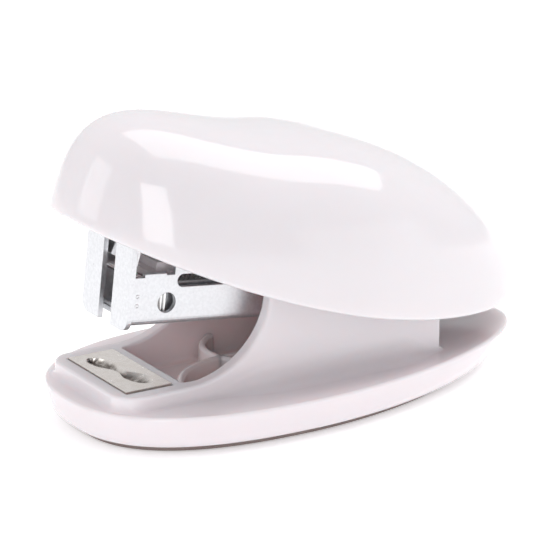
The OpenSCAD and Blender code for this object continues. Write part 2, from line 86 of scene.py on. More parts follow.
class Join(Enum):
    """The ways in which one solid acts on another."""

    ADD = "UNION"
    CUT = "DIFFERENCE"


# ---- shader graphs ---------------------------------------------------------


class Signal:
    """One output socket, with Python's operators standing for Math and Mix nodes."""

    def __init__(self, graph: "Graph", socket: bpy.types.NodeSocket) -> None:
        """Keeps the socket and the graph it belongs to."""
        self.graph = graph
        self.socket = socket

    def math(self, operation: str, *others: "Signal | float", first: Optional[float] = None) -> "Signal":
        """Adds one Math node.

        Args:
            operation: the Math node's operation.
            others: the operands after this one.
            first: a number that goes before this one, for reflected operators.

        Returns:
            The node's value.
        """
        values = [self, *others] if first is None else [first, self]
        return self.graph.node("ShaderNodeMath", {"operation": operation}, dict(enumerate(values)))

    def __add__(self, other: "Signal | float") -> "Signal":
        """Adds."""
        return self.math("ADD", other)

    __radd__ = __add__

    def __sub__(self, other: "Signal | float") -> "Signal":
        """Takes away."""
        return self.math("SUBTRACT", other)

    def __rsub__(self, other: float) -> "Signal":
        """Takes this value away from a number."""
        return self.math("SUBTRACT", first=other)

    def __mul__(self, other: "Signal | float") -> "Signal":
        """Multiplies."""
        return self.math("MULTIPLY", other)

    __rmul__ = __mul__

    def __abs__(self) -> "Signal":
        """Drops the sign."""
        return self.math("ABSOLUTE")

    def between(self, low: float, high: float) -> "Signal":
        """Rises smoothly from 0 at low to 1 at high."""
        settings = {"interpolation_type": "SMOOTHSTEP", "clamp": True}
        return self.graph.node("ShaderNodeMapRange", settings, {"Value": self, "From Min": low, "From Max": high})

    def tint(self, off: "Colour | Signal", on: "Colour | Signal") -> "Signal":
        """Mixes two colours by this value.

        Args:
            off: the colour where this is 0.
            on: the colour where this is 1.

        Returns:
            The mixed colour.
        """
        settings = {"data_type": "RGBA", "clamp_factor": True}
        return self.graph.node("ShaderNodeMix", settings, {0: self, 6: off, 7: on}, output=2)


class Graph:
    """A node tree being wired."""

    def __init__(self, tree: bpy.types.NodeTree) -> None:
        """Keeps the tree."""
        self.tree = tree

    def node(self, kind: str, settings: dict[str, object], inputs: dict[int | str, object],
             output: int | str = 0) -> Signal:
        """Adds any node.

        Args:
            kind: the node's type.
            settings: its properties.
            inputs: a number, a colour or a Signal for each socket.
            output: which output to return.

        Returns:
            The chosen output.
        """
        made = self.tree.nodes.new(kind)
        for name, value in settings.items():
            setattr(made, name, value)
        for key, value in inputs.items():
            self.plug(made.inputs[key], value)
        return Signal(self, made.outputs[output])

    def plug(self, socket: bpy.types.NodeSocket, value: object) -> None:
        """Links a Signal to a socket, or sets the socket's own value."""
        if isinstance(value, Signal):
            self.tree.links.new(value.socket, socket)
        elif isinstance(value, tuple) and len(value) == 3 and socket.type == "RGBA":
            socket.default_value = (*value, 1.0)
        else:
            socket.default_value = value

    def place(self) -> tuple[Signal, Signal, Signal]:
        """Returns the three coordinates of the surface in metres, in the row frame at rest."""
        where = self.node("ShaderNodeTexCoord", {}, {}, output="Object")
        parts = self.tree.nodes.new("ShaderNodeSeparateXYZ")
        self.tree.links.new(where.socket, parts.inputs[0])
        return tuple(Signal(self, parts.outputs[k]) for k in range(3))

    def noise(self, scale: float, detail: float = 3.0, stretch: Point = (1.0, 1.0, 1.0)) -> Signal:
        """Makes a grey noise.

        Args:
            scale: cycles in a metre.
            detail: octaves.
            stretch: how much finer the noise is along each axis.

        Returns:
            The noise, about 0.5 in the middle.
        """
        where = self.node("ShaderNodeTexCoord", {}, {}, output="Object")
        shaped = self.node("ShaderNodeVectorMath", {"operation": "MULTIPLY"}, {0: where, 1: stretch})
        return self.node("ShaderNodeTexNoise", {}, {"Vector": shaped, "Scale": scale, "Detail": detail})

    def relief(self, height: Signal, depth: float, eased: float) -> Signal:
        """Makes a surface normal with eased edges and a fine relief.

        Args:
            height: the relief, from 0 to 1.
            depth: its depth in millimetres.
            eased: the radius of the eased edges in millimetres, or 0 for none.

        Returns:
            The normal.
        """
        inputs = {"Height": height, "Distance": depth * MM, "Strength": 1.0}
        if eased > 0:
            inputs["Normal"] = self.node("ShaderNodeBevel", {"samples": 6}, {"Radius": eased * MM})
        return self.node("ShaderNodeBump", {}, inputs)


class Coat(Graph):
    """The node tree of one material, round one Principled shader."""

    def __init__(self, name: str) -> None:
        """Starts the material."""
        self.material = bpy.data.materials.new(name)
        self.material.use_nodes = True
        super().__init__(self.material.node_tree)
        self.tree.nodes.clear()
        self.shader = self.tree.nodes.new("ShaderNodeBsdfPrincipled")
        output = self.tree.nodes.new("ShaderNodeOutputMaterial")
        self.tree.links.new(self.shader.outputs[0], output.inputs["Surface"])

    def set(self, **sockets: object) -> None:
        """Sets or links sockets of the shader, with _ for a space in a name."""
        for name, value in sockets.items():
            self.plug(self.shader.inputs[name.replace("_", " ")], value)


@dataclass(frozen=True)
class PaintedPocketShade:
    """Painted shade inside the base's pocket, with a warm pink cast painted for light through the plastic; each
    range of places is in metres, in the frame's axes.
    """

    # The colour that the painted shade tints towards.
    tone: Colour = (0.84, 0.69, 0.68)
    walls: Flat = (0.0074, 0.00775)
    rear: Flat = (0.0138, 0.0142)
    front: Flat = (-0.0207, -0.0203)
    inwards: Flat = (-0.0215, -0.006)
    downwards: Flat = (0.0032, 0.0068)
    inward_share: float = 0.6
    least: float = 0.35

    def over(self, graph: Coat, colour: Signal) -> Signal:
        """Returns a colour darkened with painted shade inside the pocket, more so towards its rear and its floor.
        """
        # Masks for the painted shade: inside the pocket and behind its front, stronger towards its rear and its
        # floor.
        x, y, z = graph.place()
        inside = (1 - abs(x).between(*self.walls)) * (1 - y.between(*self.rear))
        behind = y.between(*self.front)
        low = 1 - z.between(*self.downwards)
        depth = y.between(*self.inwards) * self.inward_share + (1 - self.inward_share) * low
        return (inside * behind * (self.least + (1 - self.least) * depth)).tint(colour, self.tone)


@dataclass(frozen=True)
class GlossPlastic:
    """Glossy moulded plastic, a little see-through, with a faint ripple in its skin."""

    name: str
    colour: Colour
    deep: Colour
    roughness: float = 0.1
    eased: float = 0.0
    shade: Optional[PaintedPocketShade] = None
    milkiness: float = 0.3

    def make(self) -> bpy.types.Material:
        """Builds the material."""
        graph = Coat(self.name)
        cloud = graph.noise(60.0, 2.0)
        colour = (cloud * 0.35).tint(self.colour, self.deep)
        # Painted shade inside the pocket, where it is given.
        if self.shade:
            colour = self.shade.over(graph, colour)
        ripple = graph.noise(210.0, 2.0)
        speck = graph.noise(2600.0, 2.0)
        graph.set(
            Base_Color=colour,
            Roughness=self.roughness + (ripple - 0.5) * 0.05 + speck.between(0.62, 0.8) * 0.04,
            IOR=1.5,
            Subsurface_Weight=self.milkiness,
            Subsurface_Scale=0.003,
            Subsurface_Radius=(1.0, 0.62, 0.55),
            Coat_Weight=0.25,
            Coat_Roughness=0.04,
            Normal=graph.relief(ripple, 0.012, self.eased),
        )
        return graph.material


@dataclass(frozen=True)
class SatinPlastic:
    """Unpolished moulded plastic for the inner pieces, with a fine grain and a greyer tone in random clouds."""

    name: str
    colour: Colour
    deep: Colour

    def make(self) -> bpy.types.Material:
        """Builds the material."""
        graph = Coat(self.name)
        grain = graph.noise(3200.0, 4.0)
        cloud = graph.noise(260.0, 3.0)
        graph.set(
            Base_Color=cloud.between(0.3, 0.75).tint(self.colour, self.deep),
            Roughness=0.38 + (grain - 0.5) * 0.25,
            Subsurface_Weight=0.1,
            Subsurface_Scale=0.0008,
            Normal=graph.relief(grain, 0.012, 0.12),
        )
        return graph.material


@dataclass(frozen=True)
class PlatedSheet:
    """Plated sheet steel: mottled plate, rolling marks and specks.

    Below a set height, in metres, it is darkened by painted shade that fades in over a short rise and runs in
    streaks; in the anvil's pockets this paints their shade and dark reflections, together with the nickel's duller
    tone there.
    """

    name: str
    colour: Colour
    dull: Colour
    roughness: float = 0.36
    mottle: float = 900.0
    rolled: Point = (9.0, 1.0, 9.0)
    eased: float = 0.1
    # Painted shade: the height below which it falls, its fade and its colour.
    painted_shade_below: float = 0.0
    painted_shade_fade: float = 0.0005
    painted_shade_colour: Colour = (0.13, 0.11, 0.095)

    def make(self) -> bpy.types.Material:
        """Builds the material."""
        graph = Coat(self.name)
        patches = graph.noise(self.mottle, 5.0)
        lines = graph.noise(500.0, 3.0, self.rolled)
        specks = graph.noise(5200.0, 2.0).between(0.66, 0.78)
        worn = patches.between(0.34, 0.68)
        colour = worn.tint(self.dull, self.colour)
        colour = (specks * 0.55).tint(colour, tuple(c * 0.5 for c in self.dull))
        # Painted shade: below the set height the colour darkens, in streaks.
        if self.painted_shade_below:
            depth = 1 - graph.place()[2].between(self.painted_shade_below - self.painted_shade_fade, self.painted_shade_below)
            streaks = graph.noise(1500.0, 3.0, (1.0, 0.25, 1.0)).between(0.36, 0.62)
            colour = (depth * (0.5 + 0.5 * streaks)).tint(colour, self.painted_shade_colour)
        relief = 0.5 * patches + 0.35 * lines + 0.15 * specks
        graph.set(
            Base_Color=colour,
            Metallic=0.93,
            Roughness=self.roughness + (patches - 0.5) * 0.28 + (lines - 0.5) * 0.12,
            Normal=graph.relief(relief, 0.014, self.eased),
        )
        return graph.material


@dataclass(frozen=True)
class BrightSteel:
    """Drawn or turned steel: bright, with fine drawing lines and a darker film in places."""

    name: str
    colour: Colour
    film: Colour
    roughness: float = 0.2
    drawn: Point = (6.0, 1.0, 6.0)

    def make(self) -> bpy.types.Material:
        """Builds the material."""
        graph = Coat(self.name)
        lines = graph.noise(1400.0, 3.0, self.drawn)
        film = graph.noise(420.0, 3.0).between(0.42, 0.78)
        graph.set(
            Base_Color=film.tint(self.colour, self.film),
            Metallic=1.0,
            Roughness=self.roughness + (lines - 0.5) * 0.2 + film * 0.08,
            Normal=graph.relief(lines, 0.008, 0.06),
        )
        return graph.material


@dataclass(frozen=True)
class FoamPad:
    """The thin matte pad under the base, with a closed-cell grain; its dark brown is partly the pad's own colour
    and partly painted shade for the dark line along the base's foot.
    """

    name: str
    colour: Colour
    deep: Colour

    def make(self) -> bpy.types.Material:
        """Builds the material."""
        graph = Coat(self.name)
        cells = graph.node("ShaderNodeTexVoronoi", {}, {"Scale": 2600.0})
        cloud = graph.noise(300.0, 3.0)
        graph.set(
            Base_Color=cloud.tint(self.colour, self.deep),
            Roughness=0.82 + (cloud - 0.5) * 0.15,
            Normal=graph.relief(cells, 0.04, 0.1),
        )
        return graph.material


@dataclass(frozen=True)
class StudioFloor:
    """The plain pale floor."""

    colour: Colour = (0.93, 0.93, 0.93)
    glow: float = 0.28

    def make(self) -> bpy.types.Material:
        """Builds the material."""
        graph = Coat("studio_floor")
        haze = graph.noise(3.0, 1.0)
        graph.set(Base_Color=haze.tint(self.colour, tuple(c * 0.995 for c in self.colour)), Roughness=0.95)
        graph.set(Specular_IOR_Level=0.0, Emission_Color=(1.0, 1.0, 1.0), Emission_Strength=self.glow)
        return graph.material


class Finishes:
    """Every finish, made once."""

    def __init__(self) -> None:
        """Makes the materials and ties each to its slot."""
        white = (0.75, 0.72, 0.742)
        milky = (0.70, 0.665, 0.69)
        self.by_slot: dict[Slot, bpy.types.Material] = {
            Slot.SHELL: GlossPlastic("gloss_shell", white, milky, 0.1).make(),
            # The base gets painted shade inside its pocket.
            Slot.BASE: GlossPlastic("gloss_base", (0.80, 0.752, 0.778), (0.755, 0.70, 0.726), roughness=0.14,
                                    eased=0.28, shade=PaintedPocketShade(), milkiness=0.45).make(),
            Slot.INNER: SatinPlastic("satin_inner", (0.74, 0.69, 0.71), (0.6, 0.53, 0.55)).make(),
            # The pad's dark brown is partly painted shade for the line under the base.
            Slot.PAD: FoamPad("foam_pad", (0.36, 0.29, 0.27), (0.26, 0.2, 0.19)).make(),
            Slot.SHEET: PlatedSheet("zinc_sheet", (0.77, 0.78, 0.80), (0.69, 0.70, 0.72), 0.36, 2600.0).make(),
            # The anvil's pockets, below 7.1 mm, get painted shade and dark reflections.
            Slot.ANVIL: PlatedSheet("nickel_anvil", (0.80, 0.77, 0.73), (0.74, 0.70, 0.65), roughness=0.22,
                                    rolled=(1.0, 9.0, 9.0), eased=0.05, painted_shade_below=0.0071).make(),
            Slot.PIN: BrightSteel("turned_steel", (0.66, 0.66, 0.67), (0.45, 0.44, 0.43)).make(),
            Slot.SPRING: BrightSteel("spring_wire", (0.86, 0.85, 0.84), (0.62, 0.6, 0.58), 0.24).make(),
            Slot.STAPLE: BrightSteel("staple_steel", (0.8, 0.8, 0.8), (0.62, 0.6, 0.58), roughness=0.18,
                                     drawn=(1.0, 6.0, 1.0)).make(),
        }

    def dress_frame(self) -> None:
        """Gives each node of the frame the finish of its slot in the record."""
        for part in frame["record"]["subparts"]:
            node = frame["nodes"][part["node"]]
            node.data.materials.clear()
            node.data.materials.append(self.by_slot[Slot(part["material_slot"])])


# ---- mesh work -------------------------------------------------------------


def sweep(start: float, end: float, steps: int) -> list[float]:
    """Returns evenly spaced values from start to end, both included."""
    return [start + (end - start) * k / steps for k in range(steps + 1)]


def circle(count: int) -> list[float]:
    """Returns evenly spaced angles round a full turn."""
    return [math.tau * k / count for k in range(count)]


def eased(value: float, low: float, high: float) -> float:
    """Rises smoothly from 0 at low to 1 at high."""
    t = min(1.0, max(0.0, (value - low) / (high - low)))
    return t * t * (3.0 - 2.0 * t)


def through(points: Sequence[Flat], steps: int) -> list[Flat]:
    """Draws a smooth curve through points.

    Args:
        points: the points to pass.
        steps: pieces between two points.

    Returns:
        The points of the curve.
    """
    padded = [points[0], *points, points[-1]]
    curve = []
    for a, b, c, d in zip(padded, padded[1:], padded[2:], padded[3:]):
        for k in range(steps):
            t = k / steps
            curve.append(tuple(
                0.5 * (2 * b[i] + (c[i] - a[i]) * t + (2 * a[i] - 5 * b[i] + 4 * c[i] - d[i]) * t * t
                       + (3 * b[i] - a[i] - 3 * c[i] + d[i]) * t ** 3) for i in (0, 1)))
    return curve + [points[-1]]


@dataclass
class Hinge:
    """The pin that the magazine and the cover turn on, and shapes drawn round it."""

    magazine_raised: float = 6.5
    cover_raised: float = 17.0

    def place(self, raised: float) -> Matrix:
        """Returns the matrix that puts a shape drawn round the pin in place, in millimetres."""
        joint = next(j for j in frame["joints"] if j["name"] == "magazine_hinge")
        pin = Vector(joint["pos_m"]) / MM
        return Matrix.Translation(pin) @ Matrix.Rotation(math.radians(-raised), 4, "X")

    def magazine(self) -> Matrix:
        """Returns the magazine's own place."""
        return self.place(self.magazine_raised)

    def cover(self) -> Matrix:
        """Returns the cover's own place."""
        return self.place(self.cover_raised)


class Stock:
    """A mesh being made, in millimetres."""

    def __init__(self, name: str, place: Optional[Matrix] = None) -> None:
        """Starts an empty mesh.

        Args:
            name: the piece's name.
            place: where its drawing axes lie, or None for the frame's own.
        """
        self.name = name
        self.place = place or Matrix.Identity(4)
        self.mesh = bmesh.new()

    def ring(self, points: Sequence[Point]) -> list[bmesh.types.BMVert]:
        """Adds a ring of vertices."""
        return [self.mesh.verts.new(p) for p in points]

    def skin(self, rings: Sequence[Sequence[Point]], capped: bool = True, looped: bool = False) -> None:
        """Joins closed rings of equal counts with quads.

        Args:
            rings: the rings, in order.
            capped: whether the first and last ring are closed with a face.
            looped: whether the last ring joins the first.
        """
        made = [self.ring(r) for r in rings]
        count = len(made[0])
        pairs = list(zip(made, made[1:])) + ([(made[-1], made[0])] if looped else [])
        for low, high in pairs:
            for k in range(count):
                n = (k + 1) % count
                self.mesh.faces.new((low[k], low[n], high[n], high[k]))
        if capped and not looped:
            self.mesh.faces.new(list(reversed(made[0])))
            self.mesh.faces.new(made[-1])

    def tube(self, path: Sequence[Vector], radius: float | Callable[[float], float], sides: int = 10) -> None:
        """Sweeps a round section along a path.

        Args:
            path: the centreline.
            radius: the section's radius, or a function of the share of the way along.
            sides: points round the section.
        """
        rings = []
        side = Vector((0.0, 0.0, 1.0))
        for k, here in enumerate(path):
            along = (path[min(k + 1, len(path) - 1)] - path[max(k - 1, 0)]).normalized()
            lean = side.dot(along)
            side = (side - along * lean).normalized() if abs(lean) < 0.99 else along.orthogonal()
            other = along.cross(side)
            r = radius(k / (len(path) - 1)) if callable(radius) else radius
            rings.append([tuple(here + (side * math.cos(a) + other * math.sin(a)) * r)
                          for a in circle(sides)])
        self.skin(rings)

    def turned(self, profile: Sequence[Flat], axis: Matrix, sides: int = 40) -> None:
        """Turns a profile of radius and height round an axis.

        Args:
            profile: radius and height pairs, from one end to the other.
            axis: where the turning axis stands.
            sides: points round.
        """
        self.skin([[tuple(axis @ Vector((r * math.cos(a), r * math.sin(a), h)))
                    for a in circle(sides)] for r, h in profile])

    def solid(self) -> bpy.types.Object:
        """Closes the mesh, moves it to its place in metres and returns its object."""
        bmesh.ops.recalc_face_normals(self.mesh, faces=self.mesh.faces)
        bmesh.ops.transform(self.mesh, matrix=Matrix.Scale(MM, 4) @ self.place, verts=self.mesh.verts)
        data = bpy.data.meshes.new(self.name)
        self.mesh.to_mesh(data)
        self.mesh.free()
        made = bpy.data.objects.new(self.name, data)
        bpy.context.scene.collection.objects.link(made)
        return made


class Bench:
    """Joins, dresses and mounts finished pieces."""

    def __init__(self, finishes: Finishes) -> None:
        """Keeps the finishes."""
        self.finishes = finishes

    def work(self, piece: bpy.types.Object, tool: bpy.types.Object, join: Join) -> None:
        """Joins a tool to a piece or cuts the piece with it, and removes the tool."""
        step = piece.modifiers.new("work", "BOOLEAN")
        step.operation = join.value
        step.object = tool
        step.solver = "MANIFOLD"
        graph = bpy.context.evaluated_depsgraph_get()
        data = bpy.data.meshes.new_from_object(piece.evaluated_get(graph))
        piece.modifiers.clear()
        piece.data = data
        bpy.data.objects.remove(tool)

    def absorb(self, piece: bpy.types.Object, other: bpy.types.Object) -> None:
        """Adds another object's mesh to a piece as it is, and removes the other."""
        both = bmesh.new()
        both.from_mesh(piece.data)
        both.from_mesh(other.data)
        both.to_mesh(piece.data)
        both.free()
        bpy.data.objects.remove(other)

    def mount(self, piece: bpy.types.Object, body: Body, slot: Slot, sharp: float = 32.0,
              instead_of: Sequence[str] = (), weighted: bool = False) -> bpy.types.Object:
        """Finishes a piece: shading, the material of its slot and the body it rides on.

        Args:
            piece: the object.
            body: what it moves with.
            slot: its finish.
            sharp: edges that turn by more than this many degrees stay crisp.
            instead_of: the frame's nodes that it stands for.
            weighted: whether large faces set the shading at their edges.

        Returns:
            The same object.
        """
        for face in piece.data.polygons:
            face.use_smooth = True
        piece.data.set_sharp_from_angle(angle=math.radians(sharp))
        if weighted:
            piece.modifiers.new("weighted", "WEIGHTED_NORMAL").keep_sharp = True
        piece.data.materials.clear()
        piece.data.materials.append(self.finishes.by_slot[slot])
        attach(piece, body.value)
        if instead_of:
            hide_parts(*instead_of)
        LOG.info("%s: %d faces on %s", piece.name, len(piece.data.polygons), body.value)
        return piece


# ---- base ------------------------------------------------------------------


@dataclass
class Egg:
    """An egg outline with its own length and exponent in front and behind; tail multiplies an inset there."""

    half: float
    front: float
    rear: float
    front_power: float
    rear_power: float
    wide_y: float = 0.0
    points: int = 200
    tail: float = 1.0

    def ring(self, inset: float, z: float) -> list[Point]:
        """Returns one ring of the outline, at a height z and lying inside the full size by inset."""
        return [(x, y + self.wide_y, z) for x, y in self.flat(inset)]

    def flat(self, inset: float, share: float = 1.0) -> list[Flat]:
        """Returns the outline's points in plan, round its own middle, inset and then shrunk by share."""
        made = []
        for k in range(self.points):
            a = math.tau * (k + 0.5) / self.points
            c, s = math.cos(a), math.sin(a)
            power, length = ((self.front_power, self.front - inset) if s < 0
                             else (self.rear_power, self.rear - inset * self.tail))
            made.append((
                share * math.copysign((self.half - inset) * abs(c) ** (2 / power), c),
                share * math.copysign(length * abs(s) ** (2 / power), s)))
        return made


@dataclass
class BaseMoulding:
    """The base: an egg-shaped foot with a raised deck, two cheeks, a ribbed pocket and the pad below."""

    crease: float = 5.2
    deck: float = 7.0
    half: float = 9.5
    cheek: float = 1.9
    deck_front: float = -29.8
    deck_rear: float = 15.5
    cheek_top: float = 18.7
    cheek_front: float = -9.15
    edge: float = 0.4
    pocket_floor: float = 3.4
    pocket_front: float = -20.5
    pocket_rear: float = 14.0
    rib_top: float = 6.5
    pad: float = 0.7
    egg: Egg = field(default_factory=lambda: Egg(17.0, 26.6, 37.2, 2.5, 1.8, -6.0, 200, 2.6))
    skirt: tuple[Flat, ...] = ((0.7, 2.4), (0.88, 1.8), (1.3, 1.25), (2.18, 0.75), (3.64, 0.3), (4.86, 0.05))
    ribs: tuple[tuple[float, float, float, float, float], ...] = (
        (10.0, -10.8, 9.8, 127.3, 255.8), (-2.0, -4.8, 6.3, 207.3, 376.6))

    def foot(self) -> bpy.types.Object:
        """Makes the egg-shaped foot with its rounded crease."""
        stock = Stock("base_moulding")
        rings = [self.egg.ring(inset, z) for z, inset in through(self.skirt, 5)]
        lip = self.crease - self.skirt[-1][0]
        rings += [self.egg.ring(0.05 + lip * (1 - math.cos(a)), self.skirt[-1][0] + lip * math.sin(a))
                  for a in sweep(0.35, math.pi / 2, 5)]
        stock.skin(rings)
        return stock.solid()

    def outline(self, grow: Callable[[float], float], front_r: float = 3.0, rear_r: float = 0.5) -> list[Flat]:
        """Returns the deck's outline, moved out by an amount that depends on the place along the stapler."""
        made = []
        corners = ((1, 1, rear_r, 0.0), (-1, 1, rear_r, 90.0), (-1, -1, front_r, 180.0), (1, -1, front_r, 270.0))
        for sx, sy, r, start in corners:
            cx = sx * (self.half - r)
            cy = self.deck_rear - r if sy > 0 else self.deck_front + r
            for a in sweep(start, start + 90.0, 10):
                c, s = math.cos(math.radians(a)), math.sin(math.radians(a))
                out = grow(cy + r * s)
                made.append((cx + (r + out) * c, cy + (r + out) * s))
            if start in (90.0, 270.0):
                side = -self.half if sx < 0 else self.half
                ys = sweep(self.deck_rear - rear_r, self.deck_front + front_r, 48)[1:-1]
                for y in ys if sx < 0 else reversed(ys):
                    made.append((side + math.copysign(1.0, side) * grow(y), y))
        return made

    def deck_slab(self) -> bpy.types.Object:
        """Makes the raised deck with its rounded top edge."""
        stock = Stock("deck")
        levels = [(0.0, self.crease - 0.6), (0.0, self.deck - self.edge)]
        levels += [(self.edge * (1 - math.cos(a)), self.deck - self.edge * (1 - math.sin(a)))
                   for a in sweep(0.2, math.pi / 2, 5)]
        stock.skin([[(x, y, z) for x, y in self.outline(lambda _, inset=inset: -inset)] for inset, z in levels])
        return stock.solid()

    def foot_radius(self, y: float) -> float:
        """Returns the radius of the hollow between the ledge and the wall."""
        return 0.7 + 2.3 * eased(y, -18.0, -8.5) * (1 - eased(y, 9.5, 15.0))

    def hollow(self) -> bpy.types.Object:
        """Makes the hollow fillet that runs round the deck's foot and grows under the cheeks."""
        stock = Stock("foot_fillet")

        def level(turn: float) -> list[Point]:
            """Returns the fillet's ring at one place on its arc."""
            ring = self.outline(lambda y: self.foot_radius(y) * (1 - math.sin(turn)))
            return [(x, y, self.crease + self.foot_radius(min(y, self.deck_rear)) * (1 - math.cos(turn)))
                    for x, y in ring]

        arcs = [level(a) for a in sweep(0.0, math.pi / 2, 9)]
        inner = self.outline(lambda _: -0.25)
        top = [(x, y, p[2]) for (x, y), p in zip(inner, arcs[-1])]
        bottom = [(x, y, self.crease - 0.3) for x, y in inner]
        under = [(x, y, self.crease - 0.3) for x, y, _ in arcs[0]]
        stock.skin([under, *arcs, top, bottom], looped=True)
        return stock.solid()

    def cheek_profile(self) -> list[tuple[float, float, float, float]]:
        """Returns the cheek's side outline as places with their outward normals, from the deck to the tail."""
        front_r, rear_r = 1.5, 3.0
        rise, run = self.cheek_top - front_r - self.deck, self.cheek_front - self.pocket_front
        made = []
        for a in sweep(0.0, math.pi / 2, 22):
            n = Vector((-math.sin(a) / run, math.cos(a) / rise)).normalized()
            made.append((self.pocket_front + run * math.sin(a), self.deck + rise * (1 - math.cos(a)), n.x, n.y))
        for a in sweep(math.pi, math.pi / 2, 7):
            n = (math.cos(a), math.sin(a))
            made.append((self.cheek_front + front_r + front_r * n[0],
                         self.cheek_top - front_r + front_r * n[1], *n))
        for a in sweep(math.pi / 2, 0.0, 9):
            n = (math.cos(a), math.sin(a))
            made.append((self.deck_rear - rear_r + rear_r * n[0], self.cheek_top - rear_r + rear_r * n[1], *n))
        made.append((self.deck_rear, self.crease, 1.0, 0.0))
        return made

    def cheek_plate(self, side: int) -> bpy.types.Object:
        """Makes one cheek, with its upright edges rounded."""
        stock = Stock("cheek")
        profile = self.cheek_profile()
        rings = []
        turns = sweep(0.0, math.pi / 2, 5)
        steps = [(self.half - self.edge * (1 - math.cos(a)), self.edge * (1 - math.sin(a))) for a in turns]
        inner = self.half - self.cheek
        steps += [(inner + self.edge * (1 - math.cos(a)), self.edge * (1 - math.sin(a))) for a in reversed(turns)]
        for x, inset in steps:
            ring = [(side * x, y - ny * inset, z - nz * inset) for y, z, ny, nz in profile]
            ring.append((side * x, self.pocket_front, self.crease))
            rings.append(ring)
        stock.skin(rings)
        return stock.solid()

    def pocket(self) -> bpy.types.Object:
        """Makes the tool that hollows the pocket between the cheeks."""
        stock = Stock("pocket_tool")
        inner, fillet, corner = self.half - self.cheek, 0.6, 0.7
        rings = []
        levels = [(fillet * (1 - math.sin(a)), self.pocket_floor + fillet * (1 - math.cos(a)))
                  for a in sweep(0.0, math.pi / 2, 6)] + [(0.0, self.cheek_top + 3.0)]
        for inset, z in levels:
            ring = []
            r = corner - inset
            for sx, sy, start in ((1, 1, 0.0), (-1, 1, 90.0), (-1, -1, 180.0), (1, -1, 270.0)):
                cy = self.pocket_rear - corner if sy > 0 else self.pocket_front + corner
                ring += [(sx * (inner - corner) + r * math.cos(a), cy + r * math.sin(a), z)
                         for a in (math.radians(d) for d in sweep(start, start + 90.0, 6))]
            rings.append(ring)
        stock.skin(rings)
        return stock.solid()

    def recess(self, plate: "AnvilPlate") -> bpy.types.Object:
        """Makes the tool for the recess that the anvil plate lies in."""
        stock = Stock("recess_tool")
        x0, x1 = -plate.half - 0.1, plate.half + 0.42
        y0, y1 = plate.front - 0.12, plate.front + plate.length + 0.08
        stock.skin([[(x0, y0, z), (x1, y0, z), (x1, y1, z), (x0, y1, z)]
                    for z in (self.deck - plate.thick - 0.02, self.deck + 1.0)])
        return stock.solid()

    def rib(self, cx: float, cy: float, r: float, start: float, end: float) -> bpy.types.Object:
        """Makes one curved rib on the pocket's floor, with a rounded top."""
        stock = Stock("rib")
        half, crown = 0.5, 0.42
        section = [(-half, self.pocket_floor - 0.1), (-half * 0.92, self.rib_top - crown)]
        section += [(-half * 0.92 * math.cos(a), self.rib_top - crown * (1 - math.sin(a)))
                    for a in sweep(0.25, math.pi - 0.25, 7)]
        section += [(half * 0.92, self.rib_top - crown), (half, self.pocket_floor - 0.1)]
        stock.skin([[(cx + (r + out) * math.cos(a), cy + (r + out) * math.sin(a), z) for out, z in section]
                    for a in (math.radians(d) for d in sweep(start, end, 40))])
        return stock.solid()

    def foot_pad(self) -> bpy.types.Object:
        """Makes the thin pad under the base."""
        stock = Stock("foot_pad")
        lean = self.skirt[0][1]
        low = replace(self.egg, half=self.egg.half - lean, front=self.egg.front - lean,
                      rear=self.egg.rear - self.egg.tail * lean, tail=1.0)
        stock.skin([low.ring(inset, z) for inset, z in ((0.6, 0.0), (0.42, 0.08), (0.3, 0.3), (0.3, self.pad))])
        return stock.solid()

    def build(self, bench: Bench, plate: "AnvilPlate") -> None:
        """Builds and mounts the moulding and its pad."""
        base = self.foot()
        for extra in (self.deck_slab(), self.hollow(), self.cheek_plate(1), self.cheek_plate(-1)):
            bench.work(base, extra, Join.ADD)
        bench.work(base, self.pocket(), Join.CUT)
        bench.work(base, self.recess(plate), Join.CUT)
        for rib in self.ribs:
            bench.absorb(base, self.rib(*rib))
        bench.mount(base, Body.BASE, Slot.BASE, 30.0, ("base",), weighted=True)
        bench.mount(self.foot_pad(), Body.BASE, Slot.PAD, 40.0, ("base_pad",))


